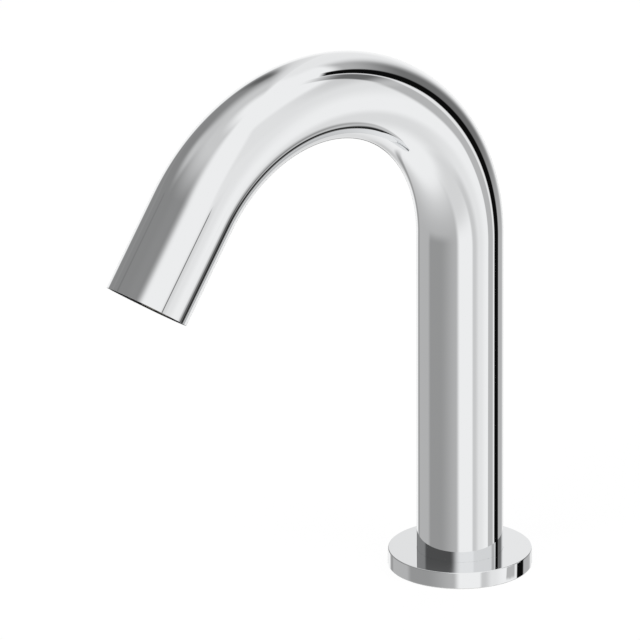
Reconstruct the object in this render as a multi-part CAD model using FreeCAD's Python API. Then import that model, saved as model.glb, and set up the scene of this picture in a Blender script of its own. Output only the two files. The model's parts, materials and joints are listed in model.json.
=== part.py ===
import FreeCAD, Part
import math
import os
from FreeCAD import Placement, Rotation, Vector

# A touch-free basin tap: a round tube, bent once, stands on a thin round flange and is
# clamped to a deck. The deck plane is z = 0, the column stands on the z axis, and the
# spout reaches along -y. Lengths are in millimetres and angles in degrees.

# ---------------------------------------------------------------- driving dimensions

# Spout tube, a single bend between a straight column and a straight tip
tube_diameter = 30.0
tube_wall = 1.5
bend_start_height = 122.5
bend_radius = 64.0
bend_angle = 146.0
tip_length = 36.5
tube_edge = 0.15
rim_wall = 0.55

# Base flange, which holds the foot of the tube on a ledge
flange_diameter = 50.0
flange_height = 6.0
flange_edge = 0.3
ledge_height = 2.5
deck_seal_width = 4.0
deck_seal_height = 1.5
deck_seal_inset = 2.0

# Foot, which fills the bottom of the tube, and the threaded shank that screws onto it
shank_diameter = 28.0
shank_length = 48.0
shank_bore = 22.0
shank_top = 1.0
foot_spigot_diameter = 24.0
web_thickness = 10.0
foot_height = 18.0

# Clamp kit under the deck
deck_thickness = 20.0
rubber_washer_diameter = 46.0
rubber_washer_height = 2.5
clamp_washer_diameter = 44.0
clamp_washer_height = 1.5
nut_across_flats = 36.0
nut_height = 8.0
washer_hole_gap = 0.3

# Fits and gaps
slide_gap = 0.1
running_gap = 0.07
thread_gap = 0.05
lift_gap = 0.05
ring_slack = 0.05
lining_gap = 0.8
solder_gap = 0.05
core_gap = 0.15

# Sealing rings, by the diameter of their section
foot_ring_section = 1.8
flange_ring_section = 1.6
spigot_ring_section = 1.2
insert_ring_section = 1.6

# Water inlet: tapped port, filter and check valve cartridge
port_ledge_height = 0.5
inlet_core_diameter = 9.0
cartridge_diameter = 12.0
cartridge_length = 10.5
cartridge_wall = 1.4
cartridge_floor = 1.5
filter_thickness = 1.0
filter_hole_diameter = 1.2
filter_hole_spacing = 1.9
check_seat_diameter = 6.0
check_poppet_diameter = 8.0
check_poppet_thickness = 1.4
check_stem_diameter = 2.5
check_stem_past_guide = 1.0
check_spring_diameter = 5.2
check_spring_wire = 0.5
check_spring_turns = 5
check_flow_hole_wall = 0.6

# Valve body and its inlet spigot
valve_body_height = 22.0
valve_body_gap = 0.2
valve_wall_room = 2.7
valve_chamber_depth = 4.0
valve_chamber_wall = 0.35
spigot_flange_height = 1.8
spigot_bore = 7.0
main_seat_diameter = 5.2
main_seat_wall = 0.9
main_seat_depth = 7.0
seat_trough_depth = 3.0
seat_trough_step = 0.2
feed_hole_diameter = 2.4
outlet_channel_drop = 13.5
outlet_channel_diameter = 4.6

# Diaphragm, plunger and core tube
diaphragm_rim_width = 1.3
diaphragm_rim_step = 0.3
diaphragm_rim_height = 2.0
diaphragm_rim_drop = 0.8
diaphragm_web = 0.6
diaphragm_web_rise = 0.1
diaphragm_centre_diameter = 9.2
diaphragm_centre_height = 0.95
plate_diameter = 8.8
plate_gap = 0.02
plate_thickness = 0.5
plate_stem_diameter = 2.5
plate_stem_length = 3.0
pilot_hole_diameter = 0.8
core_flange_height = 2.8
core_chamber_height = 1.7
core_chamber_step = 0.3
core_bore = 8.2
core_wall = 0.5
core_tube_height = 25.0
plunger_length = 17.2
plunger_spring_bore = 4.6
plunger_spring_depth = 6.0
plunger_seal_diameter = 4.0
plunger_seal_height = 1.6
plunger_seal_proud = 0.2
plunger_spring_diameter = 3.5
plunger_spring_wire = 0.5
plunger_spring_turns = 6
plunger_travel_room = 2.2
bonnet_step = 0.9
bonnet_hex = 13.0
bonnet_hex_height = 2.4

# Coil and its frame
coil_past_core = 0.6
bobbin_flange = 1.2
bobbin_hub_wall = 0.6
winding_inset = 0.3
yoke_thickness = 1.0
yoke_width = 9.0
yoke_side_gap = 0.4
stud_diameter = 4.0
stud_length = 5.0
stud_nut_across_flats = 7.0
stud_nut_height = 2.9
terminal_width = 4.0
terminal_depth = 3.0
terminal_height = 2.6
terminal_inset = 0.8

# Water hose
hose_diameter = 7.0
hose_bore = 5.0
hose_to_coil_gap = 0.9
nipple_length = 10.0
nipple_wall = 0.75
nipple_groove_depth = 0.3
nipple_groove_width = 1.0
nipple_groove_places = (0.3, 0.6)
ferrule_wall = 0.4
ferrule_length = 6.0
ferrule_offset = 2.0

# Valve screws, from below through the web
screw_diameter = 2.5
screw_head_diameter = 4.5
screw_head_height = 2.4
screw_socket = 2.0
screw_grip = 5.5
screw_across = 8.4
screw_outward = 1.5

# Control board and its holder, on top of the coil
holder_foot_height = 1.5
holder_height = 48.5
holder_gap = 0.4
holder_rail_width = 2.2
holder_rail_depth = 4.0
holder_groove = 0.9
holder_bridge_height = 2.0
board_start = 12.4
board_length = 34.0
board_thickness = 1.2
board_outward = 3.6
plug_length = 6.0
plug_width = 6.0
plug_depth = 3.5
plug_inset = 2.0
plug_margin = 1.0
chip_size = 8.0
chip_thickness = 1.2
capacitor_diameter = 6.0
capacitor_length = 14.0
capacitor_drop = 3.0

# Leads and the power socket
power_lead_diameter = 1.8
coil_lead_diameter = 1.6
sensor_cable_diameter = 3.0
sensor_cable_runs = 9
power_lead_drop = 5.4
lead_channel_across = 9.0
lead_channel_outward = -6.0
lead_channel_diameter = 3.2
socket_diameter = 6.4
socket_outward = -7.3
socket_length = 17.5
socket_flange = 0.4
socket_flange_height = 1.25
socket_mouth_diameter = 4.8
socket_mouth_depth = 5.0
pin_diameter = 0.8
pin_spacing = 2.0
pin_root = 2.0
pin_recess = 1.0
lead_pocket_width = 4.4
lead_pocket_floor = 1.0
lead_pocket_turn = 7.0
lead_pocket_fall = 5.0

# Outlet insert, in the tip of the tube; its head seats in the bored-out mouth
insert_recess = 0.1
insert_head_length = 2.0
insert_length = 23.2
insert_gap = 0.15
insert_rim_wall = 0.9
insert_web = 1.15
insert_ring_depth = 17.0

# Aerator, screwed into the insert
aerator_thread_diameter = 16.4
aerator_recess = 0.3
aerator_length = 8.8
aerator_wall = 1.2
aerator_lip = 0.7
aerator_lip_height = 0.8
key_notch_width = 2.0
aerator_grid_height = 2.0
aerator_core_height = 4.0
aerator_hole_diameter = 1.4
aerator_hole_spacing = 1.85
regulator_groove_width = 2.0
regulator_hole_diameter = 1.2
aerator_seal_height = 1.6
aerator_seal_bore = 9.2
insert_water_bore = 6.0
insert_water_depth = 20.0

# Sensor, beside the aerator
window_width = 12.0
window_height = 5.0
window_thickness = 1.8
window_fit = 0.3
led_diameter = 3.0
led_length = 4.8
led_spacing = 6.4
led_stand_off = 0.6
baffle_height = 4.6
sensor_board_thickness = 1.0
potting_height = 6.3

# ---------------------------------------------------------------- derived places

tube_radius = tube_diameter / 2
bore_radius = tube_radius - tube_wall
bend_turn = math.radians(bend_angle)
bend_length = bend_radius * bend_turn
path_length = bend_start_height + bend_length + tip_length

shank_radius = shank_diameter / 2
plug_radius = bore_radius - slide_gap

# The hose lies against the bore at the back of the bend's inside, and the coil fills
# what is left of the bore beside it.
hose_radius = hose_diameter / 2
hose_outward = -(bore_radius - lining_gap - hose_radius)
coil_room = bore_radius - hose_outward - hose_radius - hose_to_coil_gap
coil_radius = (coil_room - valve_wall_room) / 2
valve_outward = hose_outward + hose_radius + hose_to_coil_gap + coil_radius

cartridge_radius = cartridge_diameter / 2
cartridge_hole = cartridge_radius + thread_gap
cartridge_low = port_ledge_height + filter_thickness
cartridge_top = cartridge_low + cartridge_length
check_seat_height = cartridge_low + cartridge_floor
check_roof_height = cartridge_top - cartridge_floor

valve_low = foot_height
valve_top = valve_low + valve_body_height
seat_height = valve_top - main_seat_depth
rim_radius = coil_radius + diaphragm_rim_step
rim_low = seat_height - diaphragm_rim_drop
core_low = rim_low + diaphragm_rim_height
bonnet_low = core_low + core_flange_height
bonnet_radius = rim_radius + bonnet_step
plate_top = seat_height + lift_gap + diaphragm_centre_height + plate_gap + plate_thickness
plunger_low = plate_top + lift_gap + plunger_seal_proud
plunger_top = plunger_low + plunger_length
core_tube_top = bonnet_low + core_tube_height
pole_low = plunger_top + plunger_travel_room
core_outer = core_bore / 2 + core_wall

yoke_low = valve_top + bonnet_hex_height
coil_low = yoke_low + yoke_thickness
coil_top = core_tube_top + coil_past_core
yoke_top = coil_top + yoke_thickness
holder_low = yoke_top
stud_nut_low = holder_low + holder_foot_height
board_low = holder_low + board_start
board_top = board_low + board_length
holder_top = holder_low + holder_height
holder_radius = bore_radius - holder_gap
rail_outer = math.sqrt(holder_radius**2 - (board_outward + holder_rail_depth / 2) ** 2)
rail_inner = rail_outer - holder_rail_width
board_half_width = rail_inner + holder_groove - slide_gap
plug_face = board_outward - board_thickness / 2

clamp_top = -deck_thickness
clamp_washer_top = clamp_top - rubber_washer_height
nut_top = clamp_washer_top - clamp_washer_height

mouth_radius = tube_radius - rim_wall
mouth_depth = insert_recess + insert_head_length
insert_head_radius = mouth_radius - insert_gap
insert_radius = bore_radius - insert_gap
insert_back = insert_recess + insert_length
aerator_bore = aerator_thread_diameter / 2 + thread_gap
aerator_outward = -(insert_radius - aerator_bore - insert_rim_wall)
aerator_front = insert_recess + aerator_recess
aerator_back = aerator_front + aerator_length
aerator_seal_back = aerator_back + aerator_seal_height
aerator_inner = aerator_thread_diameter / 2 - aerator_wall
pocket_half = window_height / 2 + window_fit
sensor_outward = aerator_outward + aerator_bore + insert_web + pocket_half
led_front = insert_recess + window_thickness + led_stand_off
sensor_board_front = led_front + led_length + solder_gap
potting_front = sensor_board_front + sensor_board_thickness + solder_gap

# ---------------------------------------------------------------- shape helpers


def disc(radius, low, high, x=0.0, y=0.0):
    return Part.makeCylinder(radius, high - low, Vector(x, y, low))


def ring(outer, inner, low, high, x=0.0, y=0.0):
    return disc(outer, low, high, x, y).cut(disc(inner, low, high, x, y))


def block(x0, x1, y0, y1, z0, z1):
    return Part.makeBox(x1 - x0, y1 - y0, z1 - z0, Vector(x0, y0, z0))


def stadium(width, height, low, high, y=0.0):
    """A slot-shaped prism, its long side along x."""
    half = (width - height) / 2
    middle = block(-half, half, y - height / 2, y + height / 2, low, high)
    ends = [disc(height / 2, low, high, side * half, y) for side in (-1, 1)]
    return middle.fuse(ends).removeSplitter()


def slot_between(start, end, width, low, high):
    """A rounded slot that runs between two points of the xy plane."""
    along = Vector(end[0] - start[0], end[1] - start[1], 0)
    middle = block(0, along.Length, -width / 2, width / 2, low, high)
    turn = math.degrees(math.atan2(along.y, along.x))
    middle.Placement = Placement(Vector(start[0], start[1], 0), Rotation(Vector(0, 0, 1), turn))
    ends = [disc(width / 2, low, high, *point) for point in (start, end)]
    return middle.fuse(ends)


def hexagon(across_flats, low, high, x=0.0, y=0.0):
    """A six-sided prism with flats towards +y and -y."""
    corner = across_flats / 2 / math.cos(math.radians(30))
    points = [
        Vector(x + corner * math.cos(math.radians(a)), y + corner * math.sin(math.radians(a)), low)
        for a in range(0, 361, 60)
    ]
    return Part.Face(Part.makePolygon(points)).extrude(Vector(0, 0, high - low))


def turned(profile, x=0.0, y=0.0):
    """A solid of revolution about a vertical axis, from (radius, z) corners."""
    points = [Vector(radius, 0, z) for radius, z in profile]
    face = Part.Face(Part.makePolygon(points + points[:1]))
    solid = face.revolve(Vector(0, 0, 0), Vector(0, 0, 1), 360)
    solid.translate(Vector(x, y, 0))
    return solid


def sealing_ring(radius, section, z, x=0.0, y=0.0):
    return Part.makeTorus(radius, section / 2, Vector(x, y, z), Vector(0, 0, 1))


def hole_grid(radius, spacing, rings, low, high, x=0.0, y=0.0):
    """Holes on a honeycomb pattern: one in the middle, and rings of six, twelve and so on."""
    holes = []
    for column in range(-rings, rings + 1):
        for row in range(-rings, rings + 1):
            if abs(column + row) <= rings:
                across = spacing * (column + row / 2)
                along = spacing * row * math.sqrt(3) / 2
                holes.append(disc(radius, low, high, x + across, y + along))
    return holes


def around(count, radius, x=0.0, y=0.0, first=0.0):
    """Points evenly spaced on a circle."""
    angles = [math.radians(first + 360 * i / count) for i in range(count)]
    return [(x + radius * math.cos(a), y + radius * math.sin(a)) for a in angles]


def coil_spring(diameter, wire, low, high, turns, x, y):
    """A compression spring whose outside fits between two heights."""
    rise = high - low - wire
    helix = Part.makeHelix(rise / turns, rise, diameter / 2)
    section = Part.Wire(Part.makeCircle(wire / 2, Vector(diameter / 2, 0, 0), Vector(0, 1, 0)))
    spring = helix.makePipeShell([section], True, True)
    spring.translate(Vector(x, y, low + wire / 2))
    return spring


def tube_frame(distance):
    """Centre of the tube and its outward and forward directions, at a distance above the deck."""
    turn = min(max(distance - bend_start_height, 0), bend_length) / bend_radius
    outward = Vector(0, math.cos(turn), math.sin(turn))
    forward = Vector(0, -math.sin(turn), math.cos(turn))
    past = max(distance - bend_start_height - bend_length, 0)
    before = min(distance - bend_start_height, 0)
    centre = Vector(0, -bend_radius, bend_start_height) + outward * bend_radius
    return centre + forward * (past + before), outward, forward


def in_tube(distance, across, outward):
    """A point in the tube, by its distance along it and its offsets from the centre line."""
    centre, out, _ = tube_frame(distance)
    return centre + Vector(across, 0, 0) + out * outward


def at_outlet(shape):
    """Moves a shape made at z = 0, facing up, so that it faces out of the tube's end."""
    centre, _, _ = tube_frame(path_length)
    placed = shape.copy()
    placed.Placement = Placement(centre, Rotation(Vector(1, 0, 0), bend_angle)).multiply(shape.Placement)
    return placed


def rounded_path(points, name):
    """Straight runs with a tangent arc at each inner point. Prints the tightest arc."""
    edges, radii, last = [], [], points[0]
    for before, here, after in zip(points, points[1:], points[2:]):
        arriving = Vector(here - before).normalize()
        leaving = Vector(after - here).normalize()
        turn = arriving.getAngle(leaving)
        reach = 0.45 * min((here - before).Length, (after - here).Length)
        radius = reach / math.tan(turn / 2)
        inward = Vector(leaving - arriving).normalize()
        middle = here + inward * (radius / math.cos(turn / 2) - radius)
        start, end = here - arriving * reach, here + leaving * reach
        edges.append(Part.LineSegment(last, start).toShape())
        edges.append(Part.Arc(start, middle, end).toShape())
        radii.append(radius)
        last = end
    edges.append(Part.LineSegment(last, points[-1]).toShape())
    print(f"{name}: tightest bend radius {min(radii):.1f} mm")
    return edges


def pipe(edges, radius, name):
    """A round solid along a path. Prints how far its volume is from section times length."""
    path = Part.Wire(edges)
    first = path.Edges[0]
    start = first.Vertexes[0].Point
    direction = first.tangentAt(first.FirstParameter)
    section = Part.Wire(Part.makeCircle(radius, start, direction))
    solid = path.makePipeShell([section], True, False)
    share = solid.Volume / (math.pi * radius**2 * path.Length)
    print(f"{name}: length {path.Length:.1f} mm, volume / (section x length) {share:.4f}")
    return solid


def bent_rod(radius):
    """A solid rod along the tube's centre line, from the ledge to the outlet."""
    straight = disc(radius, ledge_height, bend_start_height)
    face = Part.Face(Part.Wire(Part.makeCircle(radius, Vector(0, 0, bend_start_height))))
    bend = face.revolve(Vector(0, -bend_radius, bend_start_height), Vector(1, 0, 0), bend_angle)
    tip = at_outlet(disc(radius, -tip_length, 0))
    return straight.fuse([bend, tip]).removeSplitter()


# ---------------------------------------------------------------- tube and flange


def make_spout_tube():
    """The bent tube, its open end bored out to a thin rim for the insert's head."""
    mouth = at_outlet(disc(mouth_radius, -mouth_depth, 0))
    tube = bent_rod(tube_radius).cut(bent_rod(bore_radius)).cut(mouth)
    end, _, _ = tube_frame(path_length)
    rims = [
        edge
        for edge in tube.Edges
        if isinstance(edge.Curve, Part.Circle) and (edge.Curve.Center - end).Length < tube_edge
    ]
    return tube.makeChamfer(tube_edge, rims)


def make_base_flange():
    """A turned ring: a ledge inside for the tube, a groove under it for the deck seal."""
    outer, edge = flange_diameter / 2, flange_edge
    flange = turned(
        [
            (shank_radius + slide_gap, 0),
            (outer - edge, 0),
            (outer, edge),
            (outer, flange_height - edge),
            (outer - edge, flange_height),
            (tube_radius + slide_gap, flange_height),
            (tube_radius + slide_gap, ledge_height),
            (shank_radius + slide_gap, ledge_height),
        ]
    )
    seal_outer = outer - deck_seal_inset + slide_gap
    seal_inner = outer - deck_seal_inset - deck_seal_width - slide_gap
    flange = flange.cut(ring(seal_outer, seal_inner, 0, deck_seal_height))
    groove_low, groove_high = flange_ring_levels()
    return flange.cut(ring(flange_ring_radius() + groove_half(flange_ring_section),
                           tube_radius, groove_low, groove_high))


def groove_half(section):
    return section / 2 + ring_slack


def flange_ring_radius():
    return tube_radius + groove_half(flange_ring_section)


def flange_ring_levels():
    middle = (ledge_height + flange_height) / 2
    half = groove_half(flange_ring_section)
    return middle - half, middle + half


def make_flange_o_ring():
    low, high = flange_ring_levels()
    return sealing_ring(flange_ring_radius(), flange_ring_section, (low + high) / 2)


def make_deck_seal():
    outer = flange_diameter / 2 - deck_seal_inset
    return ring(outer, outer - deck_seal_width, 0, deck_seal_height)


# ---------------------------------------------------------------- shank and deck clamp


def foot_ring_place():
    """Radius and height of the ring that seals the foot in the tube."""
    return bore_radius - groove_half(foot_ring_section), foot_height / 2


def screw_places():
    return [(side * screw_across, screw_outward) for side in (-1, 1)]


def make_threaded_shank():
    """A tube whose thread takes the backnut; its top is bored out for the foot's spigot."""
    shank = ring(shank_radius, shank_bore / 2, -shank_length, shank_top)
    return shank.cut(disc(foot_spigot_diameter / 2 + thread_gap, -web_thickness, shank_top))


def make_foot():
    """A plug in the tube, a collar on the flange's ledge and a spigot in the shank."""
    body = disc(foot_spigot_diameter / 2, -web_thickness, shank_top)
    body = body.fuse(disc(shank_radius, shank_top, ledge_height))
    body = body.fuse(disc(plug_radius, ledge_height, foot_height)).removeSplitter()
    radius, height = foot_ring_place()
    half = groove_half(foot_ring_section)
    cuts = [
        disc(inlet_core_diameter / 2, -web_thickness, port_ledge_height, 0, valve_outward),
        disc(cartridge_hole, port_ledge_height, foot_height, 0, valve_outward),
        ring(plug_radius, radius - half, height - half, height + half),
        disc(socket_diameter / 2 + thread_gap, -web_thickness, lead_pocket_floor, 0, socket_outward),
        slot_between((0, socket_outward), (lead_channel_across, lead_channel_outward),
                     lead_pocket_width, lead_pocket_floor, foot_height),
    ]
    for x, y in screw_places():
        cuts.append(disc(screw_diameter / 2 + slide_gap, -web_thickness, foot_height, x, y))
        head_top = -web_thickness + screw_head_height + slide_gap
        cuts.append(disc(screw_head_diameter / 2 + slide_gap, -web_thickness, head_top, x, y))
    return body.cut(cuts)


def make_foot_o_ring():
    radius, height = foot_ring_place()
    return sealing_ring(radius, foot_ring_section, height)


def make_rubber_washer():
    hole = shank_radius + washer_hole_gap
    return ring(rubber_washer_diameter / 2, hole, clamp_top - rubber_washer_height, clamp_top)


def make_clamp_washer():
    hole = shank_radius + washer_hole_gap
    return ring(clamp_washer_diameter / 2, hole, nut_top, clamp_washer_top)


def make_backnut():
    """A hexagon whose corners are turned off, bored for the shank's thread."""
    corner = nut_across_flats / 2 / math.cos(math.radians(30))
    edge = corner - nut_across_flats / 2
    low, high = nut_top - nut_height, nut_top - lift_gap
    envelope = turned(
        [(0, low), (corner - edge, low), (corner, low + edge / 2), (corner, high - edge / 2),
         (corner - edge, high), (0, high)]
    )
    nut = hexagon(nut_across_flats, low, high).common(envelope)
    return nut.cut(disc(shank_radius + thread_gap, low, high))


# ---------------------------------------------------------------- inlet and check valve


def make_inlet_filter():
    low, high = port_ledge_height, cartridge_low
    plate = disc(cartridge_radius, low, high, 0, valve_outward)
    return plate.cut(hole_grid(filter_hole_diameter / 2, filter_hole_spacing, 2, low, high, 0, valve_outward))


def make_check_valve_body():
    inner = cartridge_radius - cartridge_wall
    guide = check_stem_diameter / 2 + running_gap
    cage = disc(cartridge_radius, cartridge_low, cartridge_top, 0, valve_outward)
    cuts = [
        disc(check_seat_diameter / 2, cartridge_low, check_seat_height, 0, valve_outward),
        disc(inner, check_seat_height, check_roof_height, 0, valve_outward),
        disc(guide, check_roof_height, cartridge_top, 0, valve_outward),
    ]
    for x, y in around(6, (inner + guide) / 2, 0, valve_outward):
        cuts.append(disc((inner - guide) / 2 - check_flow_hole_wall, check_roof_height, cartridge_top, x, y))
    return cage.cut(cuts)


def make_check_valve_poppet():
    low = check_seat_height + lift_gap
    head = disc(check_poppet_diameter / 2, low, low + check_poppet_thickness, 0, valve_outward)
    stem = disc(check_stem_diameter / 2, low, cartridge_top + check_stem_past_guide, 0, valve_outward)
    return head.fuse(stem).removeSplitter()


def make_check_valve_spring():
    low = check_seat_height + 2 * lift_gap + check_poppet_thickness
    high = check_roof_height - lift_gap
    return coil_spring(check_spring_diameter, check_spring_wire, low, high, check_spring_turns,
                       0, valve_outward)


# ---------------------------------------------------------------- solenoid valve


def spigot_ring_place():
    """Radius and height of the ring that seals the spigot in the foot."""
    return cartridge_hole - groove_half(spigot_ring_section), (cartridge_top + valve_low) / 2


def make_inlet_spigot():
    """The nipple that joins the foot's cartridge hole to the valve body."""
    flange = cartridge_radius + valve_chamber_wall - slide_gap
    radius, height = spigot_ring_place()
    half = groove_half(spigot_ring_section)
    spigot = disc(cartridge_radius, cartridge_top, valve_low, 0, valve_outward)
    spigot = spigot.fuse(disc(flange, valve_low, valve_low + spigot_flange_height, 0, valve_outward))
    bore = disc(spigot_bore / 2, cartridge_top, valve_low + spigot_flange_height, 0, valve_outward)
    groove = ring(cartridge_hole, radius - half, height - half, height + half, 0, valve_outward)
    return spigot.cut([bore, groove])


def make_spigot_o_ring():
    radius, height = spigot_ring_place()
    return sealing_ring(radius, spigot_ring_section, height, 0, valve_outward)


def trough_radius():
    """Outside of the water trough round the main seat."""
    return rim_radius - diaphragm_rim_width - seat_trough_step


def nipple(low, y):
    """A hose nipple with two grip grooves, its bore already open."""
    outer, length = hose_bore / 2 - thread_gap, nipple_length
    spout = ring(outer, outer - nipple_wall, low, low + length, 0, y)
    for share in nipple_groove_places:
        groove_low = low + length * share
        spout = spout.cut(ring(outer, outer - nipple_groove_depth, groove_low,
                               groove_low + nipple_groove_width, 0, y))
    return spout


def make_valve_body():
    """Moulded body: water enters below, passes the main seat and leaves by the nipple."""
    y = valve_outward
    chamber = cartridge_radius + valve_chamber_wall
    channel = outlet_channel_diameter / 2
    channel_height = valve_top - outlet_channel_drop
    riser = hose_bore / 2 - thread_gap - nipple_wall
    seat_outer = main_seat_diameter / 2 + main_seat_wall
    trough_low = rim_low - seat_trough_depth + diaphragm_rim_drop
    body = disc(bore_radius - valve_body_gap, valve_low, valve_top)
    cuts = [
        disc(chamber, valve_low, valve_low + valve_chamber_depth, 0, y),
        ring(trough_radius(), seat_outer, trough_low, seat_height, 0, y),
        disc(main_seat_diameter / 2, channel_height, seat_height, 0, y),
        disc(rim_radius, seat_height, bonnet_low, 0, y),
        ring(rim_radius, trough_radius(), rim_low, seat_height, 0, y),
        disc(bonnet_radius, bonnet_low, valve_top, 0, y),
        Part.makeCylinder(channel, y - hose_outward, Vector(0, hose_outward, channel_height),
                          Vector(0, 1, 0)),
        disc(riser, channel_height, valve_top, 0, hose_outward),
        disc(lead_channel_diameter / 2, valve_low, valve_top, lead_channel_across, lead_channel_outward),
    ]
    feed_radius = (trough_radius() + seat_outer) / 2
    for angle in (30, 90, 150):
        (x, hole_y), = around(1, feed_radius, 0, y, angle)
        cuts.append(disc(feed_hole_diameter / 2, valve_low + valve_chamber_depth, trough_low, x, hole_y))
    for x, screw_y in screw_places():
        cuts.append(disc(screw_diameter / 2 + thread_gap, valve_low, valve_low + screw_grip, x, screw_y))
    return body.cut(cuts).fuse(nipple(valve_top, hose_outward)).removeSplitter()


def make_valve_screws():
    screws = []
    for x, y in screw_places():
        seat = -web_thickness + screw_head_height + slide_gap
        head = disc(screw_head_diameter / 2, seat - screw_head_height, seat, x, y)
        socket = hexagon(screw_socket, seat - screw_head_height, seat - screw_head_height / 2, x, y)
        shank = disc(screw_diameter / 2, seat, valve_low + screw_grip - lift_gap, x, y)
        screws.append(head.cut(socket).fuse(shank).removeSplitter())
    return Part.makeCompound(screws)


def make_diaphragm():
    """Rubber disc: a thick rim clamped under the core tube, a thin web and a flat centre."""
    low = seat_height + lift_gap
    centre, top = diaphragm_centre_diameter / 2, low + diaphragm_centre_height
    web_low = low + diaphragm_web_rise
    rim_inner, rim_outer = rim_radius - diaphragm_rim_width, rim_radius - slide_gap
    rim_top = rim_low + diaphragm_rim_height
    return turned(
        [
            (plate_stem_diameter / 2 + slide_gap, low),
            (centre, low),
            (centre, web_low),
            (rim_inner, web_low),
            (rim_inner, rim_low),
            (rim_outer, rim_low),
            (rim_outer, rim_top),
            (rim_inner, rim_top),
            (rim_inner, web_low + diaphragm_web),
            (centre, web_low + diaphragm_web),
            (centre, top),
            (plate_stem_diameter / 2 + slide_gap, top),
        ],
        0,
        valve_outward,
    )


def make_diaphragm_plate():
    pilot, stem = pilot_hole_diameter / 2, plate_stem_diameter / 2
    low = plate_top - plate_thickness
    return turned(
        [(pilot, low - plate_stem_length), (stem, low - plate_stem_length), (stem, low),
         (plate_diameter / 2, low), (plate_diameter / 2, plate_top), (pilot, plate_top)],
        0,
        valve_outward,
    )


def make_core_tube():
    inner, chamber = core_bore / 2, trough_radius() - core_chamber_step
    flange = rim_radius - valve_body_gap
    return turned(
        [(chamber, core_low), (flange, core_low), (flange, bonnet_low), (core_outer, bonnet_low),
         (core_outer, core_tube_top), (inner, core_tube_top), (inner, core_low + core_chamber_height),
         (chamber, core_low + core_chamber_height)],
        0,
        valve_outward,
    )


def make_bonnet_nut():
    thread = disc(bonnet_radius - thread_gap, bonnet_low, valve_top, 0, valve_outward)
    top = hexagon(bonnet_hex, valve_top, yoke_low, 0, valve_outward)
    hole = disc(core_outer + slide_gap, bonnet_low, yoke_low, 0, valve_outward)
    return thread.fuse(top).cut(hole).removeSplitter()


def make_plunger():
    radius = core_bore / 2 - running_gap
    body = disc(radius, plunger_low, plunger_top, 0, valve_outward)
    seal_top = plunger_low + plunger_seal_height - plunger_seal_proud + thread_gap
    seal_hole = disc(plunger_seal_diameter / 2 + thread_gap, plunger_low, seal_top, 0, valve_outward)
    spring_hole = disc(plunger_spring_bore / 2, plunger_top - plunger_spring_depth, plunger_top,
                       0, valve_outward)
    return body.cut([seal_hole, spring_hole])


def make_plunger_seal():
    low = plunger_low - plunger_seal_proud
    return disc(plunger_seal_diameter / 2, low, low + plunger_seal_height, 0, valve_outward)


def make_plunger_spring():
    low = plunger_top - plunger_spring_depth + lift_gap
    return coil_spring(plunger_spring_diameter, plunger_spring_wire, low, pole_low - lift_gap,
                       plunger_spring_turns, 0, valve_outward)


def make_pole_piece():
    body = disc(core_bore / 2 - thread_gap, pole_low, yoke_top, 0, valve_outward)
    return body.fuse(disc(stud_diameter / 2, yoke_top, yoke_top + stud_length, 0, valve_outward))


# ---------------------------------------------------------------- coil


def terminal_box():
    """Corners of the coil's terminal block, beside the yoke: x0, x1, y0, y1, z0, z1."""
    back = valve_outward - yoke_width / 2 - slide_gap
    left = -coil_radius + terminal_inset
    low = coil_top - bobbin_flange
    return (left, left + terminal_width, back - terminal_depth, back, low, low + terminal_height)


def make_coil_bobbin():
    y = valve_outward
    inner = core_outer + core_gap
    hub = inner + bobbin_hub_wall
    spool = disc(hub, coil_low, coil_top, 0, y)
    for low in (coil_low, coil_top - bobbin_flange):
        spool = spool.fuse(disc(coil_radius, low, low + bobbin_flange, 0, y))
    spool = spool.fuse(block(*terminal_box()))
    return spool.cut(disc(inner, coil_low, coil_top, 0, y)).removeSplitter()


def make_coil_winding():
    hub = core_outer + core_gap + bobbin_hub_wall
    low, high = coil_low + bobbin_flange + solder_gap, coil_top - bobbin_flange - solder_gap
    return ring(coil_radius - winding_inset, hub + solder_gap, low, high, 0, valve_outward)


def make_coil_yoke():
    """A closed frame of bent strip round the coil."""
    y0, y1 = valve_outward - yoke_width / 2, valve_outward + yoke_width / 2
    inner = coil_radius + yoke_side_gap
    outer = inner + yoke_thickness
    frame = block(-outer, outer, y0, y1, yoke_low, yoke_top)
    window = block(-inner, inner, y0, y1, coil_low, coil_top)
    core_hole = disc(core_outer + core_gap, yoke_low, coil_low, 0, valve_outward)
    pole_hole = disc(core_bore / 2 + thread_gap, coil_top, yoke_top, 0, valve_outward)
    return frame.cut([window, core_hole, pole_hole])


def make_yoke_nut():
    low, high = stud_nut_low, stud_nut_low + stud_nut_height
    nut = hexagon(stud_nut_across_flats, low, high, 0, valve_outward)
    return nut.cut(disc(stud_diameter / 2 + thread_gap, low, high, 0, valve_outward))


# ---------------------------------------------------------------- control board


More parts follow.
